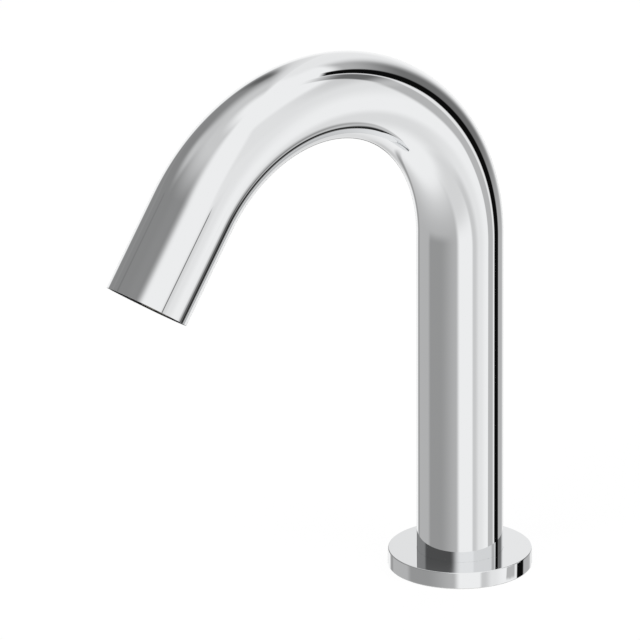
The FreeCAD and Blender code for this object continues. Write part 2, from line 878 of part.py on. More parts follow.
def make_board_holder():
    """A moulded fork: a foot under the stud's nut, and two grooved rails for the board."""
    back = valve_outward - yoke_width / 2
    rail_low, rail_high = board_outward - holder_rail_depth / 2, board_outward + holder_rail_depth / 2
    inside_tube = disc(holder_radius, holder_low, holder_top)
    front = block(-bore_radius, bore_radius, back, bore_radius, holder_low, stud_nut_low)
    foot = front.common(inside_tube)
    rails = [
        block(min(side * rail_inner, side * rail_outer), max(side * rail_inner, side * rail_outer),
              rail_low, rail_high, holder_low, holder_top)
        for side in (-1, 1)
    ]
    bridge = block(-rail_outer, rail_outer, board_outward + board_thickness / 2 + slide_gap, rail_high,
                   holder_top - holder_bridge_height, holder_top)
    holder = foot.fuse(rails + [bridge])
    groove = block(-board_half_width - slide_gap, board_half_width + slide_gap,
                   board_outward - board_thickness / 2 - slide_gap,
                   board_outward + board_thickness / 2 + slide_gap, board_low, holder_top)
    stud_hole = disc(stud_diameter / 2 + slide_gap, holder_low, stud_nut_low, 0, valve_outward)
    return holder.cut([groove, stud_hole]).common(inside_tube).removeSplitter()


def make_control_board():
    return block(-board_half_width, board_half_width, board_outward - board_thickness / 2,
                 board_outward + board_thickness / 2, board_low, board_top)


def plug_box(side, low):
    """Corners of a plug on the board's face, towards +x or -x."""
    near, far = plug_inset, plug_inset + plug_width
    x0, x1 = (near, far) if side > 0 else (-far, -near)
    return (x0, x1, plug_face - plug_depth, plug_face, low, low + plug_length)


def plug_centre(side):
    return side * (plug_inset + plug_width / 2), plug_face - plug_depth / 2


def make_board_components():
    """Three plugs, the control chip and the capacitor, soldered to the board."""
    lower, upper = board_low + plug_margin, board_top - plug_margin - plug_length
    chip_low = (board_low + board_top - chip_size) / 2
    capacitor_low = chip_low - capacitor_drop
    capacitor_y = board_outward + board_thickness / 2 + capacitor_diameter / 2
    return Part.makeCompound(
        [
            block(*plug_box(1, lower)),
            block(*plug_box(-1, lower)),
            block(*plug_box(1, upper)),
            block(-chip_size / 2, chip_size / 2, plug_face - chip_thickness, plug_face,
                  chip_low, chip_low + chip_size),
            disc(capacitor_diameter / 2, capacitor_low, capacitor_low + capacitor_length, 0, capacitor_y),
        ]
    )


# ---------------------------------------------------------------- leads, cable and hose


def make_coil_lead():
    x0, x1, y0, y1, _, top = terminal_box()
    start = Vector((x0 + x1) / 2, (y0 + y1) / 2, top)
    x, y = plug_centre(-1)
    end = Vector(x, y, board_low + plug_margin)
    third = Vector(0, 0, (end.z - start.z) / 3)
    points = [start, start + third, end - third, end]
    return pipe(rounded_path(points, "coil lead"), coil_lead_diameter / 2, "coil lead")


def make_power_lead():
    """From the board, down beside the coil and through the valve body, to the socket."""
    x, y = plug_centre(1)
    top = Vector(x, y, board_low + plug_margin)
    channel = Vector(lead_channel_across, lead_channel_outward, 0)
    turn_height = lead_pocket_floor + lead_pocket_turn
    points = [
        top,
        top - Vector(0, 0, power_lead_drop),
        channel + Vector(0, 0, holder_low),
        channel + Vector(0, 0, turn_height + lead_pocket_fall),
        Vector(0, socket_outward, turn_height),
        Vector(0, socket_outward, lead_pocket_floor),
    ]
    return pipe(rounded_path(points, "power lead"), power_lead_diameter / 2, "power lead")


def make_power_socket():
    """A two-pin socket, pushed into the web from below until its flange stops it."""
    radius = socket_diameter / 2
    low = lead_pocket_floor - socket_length
    mouth_top = low + socket_mouth_depth
    body = disc(radius, low, lead_pocket_floor, 0, socket_outward)
    flange_top = -web_thickness
    body = body.fuse(disc(radius + socket_flange, flange_top - socket_flange_height, flange_top,
                          0, socket_outward))
    cuts = [disc(socket_mouth_diameter / 2, low, mouth_top, 0, socket_outward)]
    for side in (-1, 1):
        cuts.append(disc(pin_diameter / 2, mouth_top, mouth_top + pin_root,
                         side * pin_spacing / 2, socket_outward))
    return body.removeSplitter().cut(cuts)


def make_socket_pins():
    low = lead_pocket_floor - socket_length
    high = low + socket_mouth_depth + pin_root
    pins = [
        disc(pin_diameter / 2 - solder_gap / 2, low + pin_recess, high,
             side * pin_spacing / 2, socket_outward)
        for side in (-1, 1)
    ]
    return Part.makeCompound(pins)


def hose_path():
    """Up the column beside the coil, one arc over the bend, and straight to the insert."""
    radius = bend_radius + hose_outward
    rise = (aerator_outward - hose_outward) / math.sin(bend_turn)
    bend_top = bend_start_height + rise
    centre = Vector(0, -bend_radius, bend_top)
    half, whole = bend_turn / 2, bend_turn
    start = Vector(0, hose_outward, valve_top + slide_gap)
    bend_from = Vector(0, hose_outward, bend_top)
    bend_middle = centre + Vector(0, math.cos(half), math.sin(half)) * radius
    bend_to = centre + Vector(0, math.cos(whole), math.sin(whole)) * radius
    end = in_tube(path_length - insert_back - slide_gap, 0, aerator_outward)
    return [
        Part.LineSegment(start, bend_from).toShape(),
        Part.Arc(bend_from, bend_middle, bend_to).toShape(),
        Part.LineSegment(bend_to, end).toShape(),
    ]


def make_water_hose():
    outer = pipe(hose_path(), hose_radius, "water hose")
    return outer.cut(pipe(hose_path(), hose_bore / 2, "water hose bore"))


def make_hose_ferrules():
    """The crimped sleeves that hold the hose on its two nipples."""
    inner = hose_radius + solder_gap
    outer = inner + ferrule_wall
    low = valve_top + ferrule_offset
    depth = insert_back + ferrule_offset
    upper = at_outlet(ring(outer, inner, -depth - ferrule_length, -depth, 0, aerator_outward))
    return Part.makeCompound([ring(outer, inner, low, low + ferrule_length, 0, hose_outward), upper])


def make_sensor_cable():
    """From the board's upper plug, through the bend, to the back of the sensor."""
    x, y = plug_centre(1)
    start = board_top - plug_margin + slide_gap
    end = path_length - potting_front - potting_height / 2
    run = (end - start) / sensor_cable_runs
    points = [in_tube(start, x, y)]
    for step in range(sensor_cable_runs - 1):
        share = step / (sensor_cable_runs - 2)
        eased = share * share * (3 - 2 * share)
        across = x * (1 - share**3)
        outward = y + (sensor_outward - y) * eased
        points.append(in_tube(start + run * (step + 1), across, outward))
    points.append(in_tube(end, 0, sensor_outward))
    return pipe(rounded_path(points, "sensor cable"), sensor_cable_diameter / 2, "sensor cable")


# ---------------------------------------------------------------- outlet insert and aerator
# These are made facing up, with the end of the tube at z = 0, so that a depth d is z = -d.


def insert_ring_place():
    return bore_radius - groove_half(insert_ring_section), -insert_ring_depth


def make_outlet_insert():
    body = disc(insert_radius, -insert_back, -insert_recess)
    body = body.fuse(disc(insert_head_radius, -mouth_depth, -insert_recess)).removeSplitter()
    radius, height = insert_ring_place()
    half = groove_half(insert_ring_section)
    riser = hose_bore / 2 - thread_gap - nipple_wall
    cuts = [
        disc(aerator_bore, -aerator_seal_back, -insert_recess, 0, aerator_outward),
        disc(insert_water_bore / 2, -insert_water_depth, -aerator_seal_back, 0, aerator_outward),
        disc(riser, -insert_back, -insert_water_depth, 0, aerator_outward),
        stadium(window_width + 2 * window_fit, 2 * pocket_half, -insert_back, -insert_recess, sensor_outward),
        ring(insert_radius, radius - half, height - half, height + half),
    ]
    body = body.cut(cuts)
    tail = nipple(-insert_back - nipple_length, aerator_outward)
    return at_outlet(body.fuse(tail).removeSplitter())


def make_insert_o_ring():
    radius, height = insert_ring_place()
    return at_outlet(sealing_ring(radius, insert_ring_section, height))


def make_aerator_housing():
    outer, lip = aerator_thread_diameter / 2, aerator_inner - aerator_lip
    y = aerator_outward
    shell = ring(outer, aerator_inner, -aerator_back, -aerator_front, 0, y)
    shell = shell.fuse(ring(outer, lip, -aerator_front - aerator_lip_height, -aerator_front, 0, y))
    half = key_notch_width / 2
    low, high = -aerator_front - aerator_lip_height, -aerator_front
    notches = [block(-outer, outer, y - half, y + half, low, high),
               block(-half, half, y - outer, y + outer, low, high)]
    keep = disc(aerator_inner, low, high, 0, y)
    return at_outlet(shell.cut([notch.common(keep) for notch in notches]).removeSplitter())


def aerator_disc(front, height):
    """A disc that fits in the aerator's housing, by the depth of its front face."""
    return disc(aerator_inner - thread_gap, -front - height, -front, 0, aerator_outward)


def make_aerator_grid():
    front = aerator_front + aerator_lip_height
    plate = aerator_disc(front, aerator_grid_height)
    holes = hole_grid(aerator_hole_diameter / 2, aerator_hole_spacing, 3, -front - aerator_grid_height,
                      -front, 0, aerator_outward)
    return at_outlet(plate.cut(holes))


def make_aerator_core():
    front = aerator_front + aerator_lip_height + aerator_grid_height
    back = front + aerator_core_height
    body = aerator_disc(front, aerator_core_height)
    cuts = [disc(aerator_inner - aerator_wall, -front - aerator_core_height / 2, -front, 0, aerator_outward)]
    for x, y in around(12, aerator_inner - 2 * aerator_wall, 0, aerator_outward):
        cuts.append(disc(aerator_wall / 2, -back, -front, x, y))
    return at_outlet(body.cut(cuts))


def make_flow_regulator():
    front = aerator_front + aerator_lip_height + aerator_grid_height + aerator_core_height
    height = aerator_back - front
    body = aerator_disc(front, height)
    middle, half = aerator_inner / 2, regulator_groove_width / 2
    cuts = [ring(middle + half, middle - half, -front - height, -front - height / 2, 0, aerator_outward)]
    for x, y in around(8, middle, 0, aerator_outward):
        cuts.append(disc(regulator_hole_diameter / 2, -front - height, -front, x, y))
    return at_outlet(body.cut(cuts))


def make_aerator_seal():
    outer = aerator_bore - slide_gap
    return at_outlet(ring(outer, aerator_seal_bore / 2, -aerator_seal_back + lift_gap,
                          -aerator_back - lift_gap, 0, aerator_outward))


# ---------------------------------------------------------------- sensor


def make_sensor_window():
    back = insert_recess + window_thickness
    return at_outlet(stadium(window_width, window_height, -back, -insert_recess, sensor_outward))


def make_led(side):
    """A round diode with a domed front, its flat back on the sensor board."""
    radius = led_diameter / 2
    x = side * led_spacing / 2
    back = -led_front - led_length
    barrel = disc(radius, back, -led_front - radius, x, sensor_outward)
    dome = Part.makeSphere(radius, Vector(x, sensor_outward, -led_front - radius))
    return at_outlet(barrel.fuse(dome).removeSplitter())


def make_sensor_baffle():
    """A black block with two sight holes, which keeps the diodes' light apart."""
    front = insert_recess + window_thickness + solder_gap
    body = stadium(window_width, window_height, -front - baffle_height, -front, sensor_outward)
    holes = [
        disc(led_diameter / 2 + slide_gap, -front - baffle_height, -front,
             side * led_spacing / 2, sensor_outward)
        for side in (-1, 1)
    ]
    return at_outlet(body.cut(holes))


def make_sensor_board():
    back = sensor_board_front + sensor_board_thickness
    return at_outlet(stadium(window_width, window_height, -back, -sensor_board_front, sensor_outward))


def make_sensor_potting():
    """Resin that closes the pocket behind the board, with the cable's end cast into it."""
    back = potting_front + potting_height
    body = stadium(window_width, window_height, -back, -potting_front, sensor_outward)
    hole = disc(sensor_cable_diameter / 2 + solder_gap, -back,
                -potting_front - potting_height / 2 + solder_gap, 0, sensor_outward)
    return at_outlet(body.cut(hole))


# ---------------------------------------------------------------- all pieces

pieces = {
    "spout_tube": make_spout_tube,
    "base_flange": make_base_flange,
    "flange_o_ring": make_flange_o_ring,
    "deck_seal": make_deck_seal,
    "foot": make_foot,
    "foot_o_ring": make_foot_o_ring,
    "threaded_shank": make_threaded_shank,
    "rubber_washer": make_rubber_washer,
    "clamp_washer": make_clamp_washer,
    "backnut": make_backnut,
    "inlet_filter": make_inlet_filter,
    "check_valve_body": make_check_valve_body,
    "check_valve_poppet": make_check_valve_poppet,
    "check_valve_spring": make_check_valve_spring,
    "inlet_spigot": make_inlet_spigot,
    "spigot_o_ring": make_spigot_o_ring,
    "valve_body": make_valve_body,
    "valve_screws": make_valve_screws,
    "diaphragm": make_diaphragm,
    "diaphragm_plate": make_diaphragm_plate,
    "core_tube": make_core_tube,
    "bonnet_nut": make_bonnet_nut,
    "plunger": make_plunger,
    "plunger_seal": make_plunger_seal,
    "plunger_spring": make_plunger_spring,
    "pole_piece": make_pole_piece,
    "coil_bobbin": make_coil_bobbin,
    "coil_winding": make_coil_winding,
    "coil_yoke": make_coil_yoke,
    "yoke_nut": make_yoke_nut,
    "board_holder": make_board_holder,
    "control_board": make_control_board,
    "board_components": make_board_components,
    "coil_lead": make_coil_lead,
    "power_lead": make_power_lead,
    "power_socket": make_power_socket,
    "socket_pins": make_socket_pins,
    "water_hose": make_water_hose,
    "hose_ferrules": make_hose_ferrules,
    "sensor_cable": make_sensor_cable,
    "outlet_insert": make_outlet_insert,
    "insert_o_ring": make_insert_o_ring,
    "aerator_housing": make_aerator_housing,
    "aerator_grid": make_aerator_grid,
    "aerator_core": make_aerator_core,
    "flow_regulator": make_flow_regulator,
    "aerator_seal": make_aerator_seal,
    "sensor_window": make_sensor_window,
    "ir_emitter": lambda: make_led(-1),
    "ir_receiver": lambda: make_led(1),
    "sensor_baffle": make_sensor_baffle,
    "sensor_board": make_sensor_board,
    "sensor_potting": make_sensor_potting,
}

os.makedirs("parts", exist_ok=True)
for name, make in pieces.items():
    shape = make()
    print(f"{name}: valid {shape.isValid()}, solids {len(shape.Solids)}, volume {shape.Volume:.1f}")
    shape.exportStep(f"parts/{name}.step")
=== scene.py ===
import bmesh
import bpy
import json
import math
from mathutils import Matrix, Vector

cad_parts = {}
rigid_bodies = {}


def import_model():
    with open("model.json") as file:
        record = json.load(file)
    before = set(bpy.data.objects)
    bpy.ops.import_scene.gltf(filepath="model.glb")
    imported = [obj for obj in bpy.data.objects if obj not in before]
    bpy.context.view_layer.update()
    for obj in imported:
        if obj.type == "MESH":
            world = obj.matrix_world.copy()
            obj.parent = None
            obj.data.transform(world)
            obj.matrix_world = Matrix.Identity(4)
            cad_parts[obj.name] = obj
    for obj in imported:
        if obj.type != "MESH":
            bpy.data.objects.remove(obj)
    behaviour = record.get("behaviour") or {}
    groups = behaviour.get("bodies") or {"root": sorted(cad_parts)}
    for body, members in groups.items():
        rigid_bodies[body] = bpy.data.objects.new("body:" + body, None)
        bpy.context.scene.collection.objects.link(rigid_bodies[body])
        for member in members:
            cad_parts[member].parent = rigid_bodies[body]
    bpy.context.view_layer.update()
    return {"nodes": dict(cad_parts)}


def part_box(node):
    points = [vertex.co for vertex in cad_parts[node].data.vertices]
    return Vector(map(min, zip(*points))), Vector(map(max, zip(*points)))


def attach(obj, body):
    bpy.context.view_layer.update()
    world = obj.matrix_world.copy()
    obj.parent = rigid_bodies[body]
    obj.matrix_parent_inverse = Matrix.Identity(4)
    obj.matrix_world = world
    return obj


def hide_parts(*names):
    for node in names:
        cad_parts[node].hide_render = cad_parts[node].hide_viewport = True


# A touch-free basin tap: one bent chromed tube on a thin round flange, with the water
# outlet and the sensor's window in the end of the tube. Lengths on the tap, and where the
# camera aims, are in millimetres and are turned to Blender's metres by MM. The distance
# and the clipping of the camera, the lamps and the deck are in metres.

MM = 0.001

for spare in list(bpy.data.objects):
    bpy.data.objects.remove(spare)
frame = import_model()
bpy.context.scene.view_settings.view_transform = "Standard"

# ---------------------------------------------------------------- camera

# A long lens from the front right and a little above, as in the photograph. The camera
# faces a height on the column, then turns left and up a little to take in the spout.
CAMERA_AZIMUTH = math.radians(51)
CAMERA_ELEVATION = math.radians(21)
CAMERA_DISTANCE = 6.305
FACED_HEIGHT = 69.28
AIM_LEFT = 48.46
AIM_UP = 19.65
SENSOR_WIDTH = 36
FOCAL_LENGTH = 1023.75
CLIP_END = 50

towards_camera = Vector((
    math.sin(CAMERA_AZIMUTH) * math.cos(CAMERA_ELEVATION),
    -math.cos(CAMERA_AZIMUTH) * math.cos(CAMERA_ELEVATION),
    math.sin(CAMERA_ELEVATION),
))
camera_right = Vector((math.cos(CAMERA_AZIMUTH), math.sin(CAMERA_AZIMUTH), 0))
camera_up = towards_camera.cross(camera_right)
column = Vector((0, 0, FACED_HEIGHT)) * MM
aim = column - camera_right * AIM_LEFT * MM + camera_up * AIM_UP * MM
stand = column + towards_camera * CAMERA_DISTANCE
backward = (stand - aim).normalized()
sideways = (camera_right - backward * camera_right.dot(backward)).normalized()

lens = bpy.data.cameras.new("camera")
lens.sensor_width = SENSOR_WIDTH
lens.lens = FOCAL_LENGTH
lens.clip_end = CLIP_END
camera = bpy.data.objects.new("camera", lens)
turn = Matrix((sideways, backward.cross(sideways), backward)).transposed().to_4x4()
camera.matrix_world = Matrix.Translation(stand) @ turn
bpy.context.scene.collection.objects.link(camera)
bpy.context.scene.camera = camera

# ---------------------------------------------------------------- nodes and colours


def add(tree, kind, sockets=None, **settings):
    """One node with its settings; a socket is fed by a value or by another node's output."""
    made = tree.nodes.new(kind)
    for name, value in settings.items():
        setattr(made, name, value)
    for key, value in (sockets or {}).items():
        if isinstance(value, bpy.types.NodeSocket):
            tree.links.new(value, made.inputs[key])
        else:
            made.inputs[key].default_value = value
    return made


def paint(hex_colour):
    """A linear colour from an sRGB hex value such as c0c0c0."""
    parts = [int(hex_colour[i:i + 2], 16) / 255 for i in (0, 2, 4)]
    return [p / 12.92 if p <= 0.04045 else ((p + 0.055) / 1.055) ** 2.4 for p in parts] + [1]


def ray_kinds(tree):
    """Two outputs: 1 for camera rays, and 1 for camera, mirror and glass rays alike."""
    rays = add(tree, "ShaderNodeLightPath")
    from_camera = rays.outputs["Is Camera Ray"]
    mirrored = add(tree, "ShaderNodeMath",
                   {0: rays.outputs["Is Glossy Ray"], 1: rays.outputs["Is Transmission Ray"]},
                   operation="MAXIMUM")
    seen = add(tree, "ShaderNodeMath", {0: from_camera, 1: mirrored.outputs[0]},
               operation="MAXIMUM")
    return from_camera, seen.outputs[0]


# ---------------------------------------------------------------- studio

# The world is the studio that the chrome mirrors: white walls, a soft grey room on the
# left, a tall black flag on the right with grey card beside it. Each card is placed by
# its azimuth from the front of the set, positive to the right, and its elevation, both
# in degrees. Azimuths end at 180 behind the set; ALL_ROUND lies past any of them.
ALL_ROUND = 999

world = bpy.data.worlds.new("studio")
bpy.context.scene.world = world
world.use_nodes = True
sky = world.node_tree
sky.nodes.clear()

direction = add(sky, "ShaderNodeTexCoord").outputs["Generated"]
turned_to_front = add(sky, "ShaderNodeVectorRotate",
                      {"Vector": direction, "Axis": (0, 0, 1),
                       "Angle": math.pi / 2 - CAMERA_AZIMUTH},
                      rotation_type="AXIS_ANGLE").outputs[0]
across = add(sky, "ShaderNodeSeparateXYZ", {0: turned_to_front})
azimuth = add(sky, "ShaderNodeMath",
              {0: across.outputs["Y"], 1: across.outputs["X"]}, operation="ARCTAN2").outputs[0]
azimuth = add(sky, "ShaderNodeMath", {0: azimuth}, operation="DEGREES").outputs[0]
elevation = add(sky, "ShaderNodeMath", {0: across.outputs["Z"]}, operation="ARCSINE").outputs[0]
elevation = add(sky, "ShaderNodeMath", {0: elevation}, operation="DEGREES").outputs[0]


def card(under, level, sides, heights, soft, lean=0.0):
    """Lays one card over the studio so far, from side to side and from its foot to its top.
    Each soft edge (left, right, foot, top) is centred on its line. A card that leans moves
    right by that many degrees for each degree of elevation."""
    place = add(sky, "ShaderNodeMath", {0: elevation, 1: -lean, 2: azimuth},
                operation="MULTIPLY_ADD").outputs[0]
    cover = 1.0
    for along, edge, blur in ((place, sides[0], soft[0]), (place, sides[1], -soft[1]),
                              (elevation, heights[0], soft[2]), (elevation, heights[1], -soft[3])):
        ends = edge - blur, edge + blur
        inside = add(sky, "ShaderNodeMapRange",
                     {"Value": along, "From Min": ends[0], "From Max": ends[1]},
                     interpolation_type="SMOOTHSTEP").outputs[0]
        cover = add(sky, "ShaderNodeMath", {0: inside, 1: cover}, operation="MULTIPLY").outputs[0]
    return add(sky, "ShaderNodeMix", {"Factor": cover, 2: under, 3: level}).outputs[0]


light = 0.98

# The floor far off, a little darker than the walls, and the wall behind the tap.
light = card(light, 0.81, (-ALL_ROUND, ALL_ROUND), (-60, -31), (1, 1, 13, 8))
light = card(light, 0.75, (-10, 46), (-58, -34), (6, 8, 12, 8))
light = card(light, 0.90, (158, ALL_ROUND), (6, 64), (10, 1, 6, 6))
light = card(light, 0.88, (-ALL_ROUND, -168), (6, 64), (1, 4, 6, 6))

# A small black card right behind the tap, in two halves, for the outlet's face: seen
# edge-on, it mirrors what lies there.
light = card(light, 0.03, (173, ALL_ROUND), (-31, -18), (2, 1, 2, 2))
light = card(light, 0.03, (-ALL_ROUND, -173), (-31, -18), (1, 2, 2, 2))

# The dim room on the left: its floor, a darker skirting, then its wall, which pales upwards.
light = card(light, 0.50, (-150, -5), (-46, -4), (6, 6, 21, 8))
light = card(light, 0.34, (-90, -30), (-26, -8), (6, 26, 4, 4))
light = card(light, 0.62, (-178, -150), (-50, -37), (8, 4, 6, 6))
light = card(light, 0.78, (144, 184), (-52, -37), (6, 4, 5, 5))
light = card(light, 0.35, (-138, -128), (-62, -17), (3.5, 3.5, 14, 3), lean=0.4)
light = card(light, 0.66, (-175, -18), (9, 76), (9, 14, 5, 8))
light = card(light, 0.27, (-170, -24), (9, 47), (5, 13, 5, 15))
light = card(light, 0.28, (-154, -24), (-12, 13), (5, 12, 6, 5), lean=-0.7)
light = card(light, 0.62, (-124, -97), (36, 62), (12, 10, 9, 6))
light = card(light, 0.13, (-168.5, -160), (18, 37), (3, 4, 6, 6))
light = card(light, 0.09, (-106, -12), (8, 23), (6, 15, 6, 1.5))

# A white screen on the right, greyer towards its top and its near side, with the thin dark
# gap beside it that the spout's tip shows as a line.
light = card(light, 0.88, (38, 66), (-40, 12), (5, 10, 8, 8))
light = card(light, 0.85, (37, 96), (8, 47), (3.5, 2, 14, 5))
light = card(light, 0.68, (74, 96), (30, 47), (24, 2, 8, 5))
light = card(light, 0.66, (34, 47), (-41, -1), (3, 7, 6, 6))
light = card(light, 0.18, (39.9, 42.3), (-4, 2.0), (0.6, 0.6, 2, 1.4))

# The screen's grey edge, darker above, and the bright slit between it and the black flag.
light = card(light, 0.52, (90.3, 103), (-22, 22), (2, 1.5, 0.2, 8), lean=0.17)
light = card(light, 0.52, (102.3, 112), (-22, -11), (0.7, 1, 0.2, 3), lean=1)
light = card(light, 0.16, (95.5, 108.3), (24, 55), (1.5, 1.5, 9, 12))
light = card(light, 0.90, (103, 111), (-22, 21), (1.5, 1, 0.2, 5), lean=0.17)

# Grey card behind the flag, the flag's dim image in the floor, and the flag itself.
light = card(light, 0.50, (121, 155), (-24, 51), (1, 11, 2, 4))
light = card(light, 0.18, (121, 146), (-13, 35), (1, 8, 10, 14))
light = card(light, 0.60, (97, 131), (-80, -26), (3, 3, 3, 1.5))
light = card(light, 0.22, (114.4, 121.6), (-50, -24), (3, 3, 22, 1), lean=0.31)
light = card(light, 0.30, (120, 131), (-80, -24), (2, 3, 4, 1.5))
light = card(light, 0.12, (105, 125), (-33, -23.5), (5, 4, 3, 0.5))
light = card(light, 0.02, (113.8, 123.2), (-84, -23), (2.2, 1.8, 4, 1))
light = card(light, 0.02, (110, 128), (-86, -58), (4, 4, 4, 6))
light = card(light, 0.004, (110.2, 123.6), (-24, 57), (1, 1.8, 1, 2))
light = card(light, 0.004, (108.7, 120), (-24, 8), (1, 1, 1, 2), lean=0.18)

# Camera rays see plain white, and mirrors and glass the studio at full strength. Matt
# surfaces get a little over half its strength, and the rest of their light from the lamps.
MATT_STRENGTH = 0.55

from_camera, seen = ray_kinds(sky)
shade = add(sky, "ShaderNodeMix", {"Factor": from_camera, 2: light, 3: 1.0})
strength = add(sky, "ShaderNodeMapRange", {"Value": seen, "To Min": MATT_STRENGTH, "To Max": 1.0})
background = add(sky, "ShaderNodeBackground",
                 {"Color": shade.outputs[0], "Strength": strength.outputs[0]})
add(sky, "ShaderNodeOutputWorld", {"Surface": background.outputs[0]})


def lamp(name, watts, size, place):
    """A square soft box that faces the tap. It lights matt surfaces and isn't mirrored."""
    data = bpy.data.lights.new(name, "AREA")
    data.energy = watts
    data.size = size
    box = bpy.data.objects.new(name, data)
    place = Vector(place)
    faces_tap = place.to_track_quat("Z", "Y").to_matrix().to_4x4()
    box.matrix_world = Matrix.Translation(place) @ faces_tap
    box.visible_glossy = False
    bpy.context.scene.collection.objects.link(box)


lamp("key_lamp", 22, 1.4, (0.3, -1.8, 1.6))
lamp("side_lamp", 12, 1.4, (2.0, 0.6, 1.1))
lamp("back_lamp", 12, 1.6, (-1.2, 1.6, 1.6))

# The deck that the tap stands on: white, glowing just enough to merge with the background,
# with a faint contact shadow in the rest of its light. From below it isn't drawn, so that
# the shank and its nut can be seen.
DECK_REACH = 4
DECK_GLOW = 1.035
GLOW_SHARE = 0.92

deck_paint = bpy.data.materials.new("deck_paint")
deck_paint.use_nodes = True
tree = deck_paint.node_tree
tree.nodes.clear()
from_camera, seen = ray_kinds(tree)
share = add(tree, "ShaderNodeMath", {0: seen, 1: GLOW_SHARE}, operation="MULTIPLY")
matt = add(tree, "ShaderNodeBsdfDiffuse", {"Color": paint("f4f4f4")})
glow = add(tree, "ShaderNodeEmission", {"Color": paint("ffffff"), "Strength": DECK_GLOW})
lit = add(tree, "ShaderNodeMixShader",
          {0: share.outputs[0], 1: matt.outputs[0], 2: glow.outputs[0]})
side = add(tree, "ShaderNodeNewGeometry")
clear = add(tree, "ShaderNodeBsdfTransparent")
both = add(tree, "ShaderNodeMixShader",
           {0: side.outputs["Backfacing"], 1: lit.outputs[0], 2: clear.outputs[0]})
add(tree, "ShaderNodeOutputMaterial", {"Surface": both.outputs[0]})

deck = bmesh.new()
bmesh.ops.create_grid(deck, x_segments=2, y_segments=2, size=DECK_REACH)
deck_mesh = bpy.data.meshes.new("deck")
deck.to_mesh(deck_mesh)
deck.free()
deck_mesh.materials.append(deck_paint)
deck_top = bpy.data.objects.new("deck", deck_mesh)
deck_top.visible_glossy = False
bpy.context.scene.collection.objects.link(deck_top)

# ---------------------------------------------------------------- finishes

# Noise textures stay mostly between these two values.
NOISE_LOW = 0.3
NOISE_HIGH = 0.7

# A wave texture of scale 1 has about this many crests and troughs in each unit of length.
CRESTS_AND_TROUGHS = 6.283

finishes = {}


def emboss(tree, shader, texture, relief):
    """Raises the surface by up to a relief in mm where a texture is bright."""
    bump = add(tree, "ShaderNodeBump",
               {"Height": texture.outputs["Fac"], "Distance": relief * MM, "Strength": 1.0})
    tree.links.new(bump.outputs[0], shader.inputs["Normal"])


def finish(name, colour, roughness, other=None, patch=6.0, grain=0.4, relief=0.0, **sockets):
    """A finish whose colour and gloss wander over patches of a size in mm, with a fine grain
    whose size and relief are in mm. Returns its tree, shader and coordinates."""
    made = bpy.data.materials.new(name)
    made.use_nodes = True
    tree = made.node_tree
    shader = tree.nodes["Principled BSDF"]
    shader.inputs["Base Color"].default_value = paint(colour)
    for socket, value in sockets.items():
        shader.inputs[socket.replace("_", " ")].default_value = value
    place = add(tree, "ShaderNodeTexCoord").outputs["Object"]
    patches = add(tree, "ShaderNodeTexNoise",
                  {"Vector": place, "Scale": 1 / (patch * MM), "Detail": 3.0}).outputs["Fac"]
    gloss = add(tree, "ShaderNodeMapRange",
                {"Value": patches, "From Min": NOISE_LOW, "From Max": NOISE_HIGH,
                 "To Min": roughness[0], "To Max": roughness[1]})
    tree.links.new(gloss.outputs[0], shader.inputs["Roughness"])
    if other:
        colours = add(tree, "ShaderNodeMix",
                      {"Factor": patches, 6: paint(colour), 7: paint(other)}, data_type="RGBA")
        tree.links.new(colours.outputs[2], shader.inputs["Base Color"])
    if relief:
        fine = add(tree, "ShaderNodeTexNoise",
                   {"Vector": place, "Scale": 1 / (grain * MM), "Detail": 2.0})
        emboss(tree, shader, fine, relief)
    finishes[name] = made
    return tree, shader, place


def ribs(made, step, relief, **sockets):
    """Gives a finish ribs across its height: from crest to trough is a step in mm."""
    tree, shader, place = made
    wave = add(tree, "ShaderNodeTexWave",
               {"Vector": place, "Scale": 1 / (step * MM) / CRESTS_AND_TROUGHS},
               bands_direction="Z")
    for socket, value in sockets.items():
        wave.inputs[socket.replace("_", " ")].default_value = value
    emboss(tree, shader, wave, relief)


# Chromium plate on brass, polished before plating: a near-perfect mirror, a touch cool.
finish("chrome", "eeeff0", (0.008, 0.02), patch=25.0, Metallic=1.0)

# Bare turned brass: warm, with fine rings left by the cutter, drawn about 0.6 mm apart so
# that they show, and duller patches where it was handled.
brass = finish("turned_brass", "d8b56c", (0.2, 0.36), "b58f4c", patch=9.0, Metallic=1.0)
ribs(brass, 0.3, 0.012, Distortion=0.6, Detail=2.0, Detail_Scale=2.0)

# Nickel plate on brass, barrel plated: satin and slightly yellow.
finish("nickelled_brass", "d6d0c2", (0.2, 0.32), "c4beaf", patch=4.0, grain=0.3, relief=0.004,
       Metallic=1.0)

# Zinc-plated pressed steel: grey-blue with faint cloudy passivation.
finish("zinc_steel", "c9cdd0", (0.28, 0.44), "b9b8ae", patch=7.0, grain=0.5, relief=0.006,
       Metallic=1.0)

# Stainless steel, fine turned or drawn: even grey with a soft shine.
finish("stainless", "cfcfcd", (0.18, 0.3), "bebebc", patch=5.0, grain=0.25, relief=0.003,
       Metallic=1.0)

# Moulded nitrile or EPDM rubber: black, matt, with a faint bloom.
finish("black_rubber", "191919", (0.55, 0.75), "242423", patch=5.0, grain=0.35, relief=0.02)

# Acetal moulded in a sparked tool: black and without a shine, so that it stays black in the
# outlet's face, which the photograph shows edge-on.
finish("black_acetal", "1d1d1e", (0.5, 0.6), "222224", patch=8.0, grain=0.3, relief=0.01,
       Specular_IOR_Level=0.0)

# Natural acetal: milky white and slightly waxy.
finish("white_acetal", "ebebe4", (0.3, 0.42), "e2e1d8", patch=6.0, grain=0.5, relief=0.006)

# Glass-filled nylon: mid grey with pale fibre flecks at the skin.
finish("grey_nylon", "6f7173", (0.45, 0.6), "8a8c8d", patch=0.8, grain=0.5, relief=0.015)

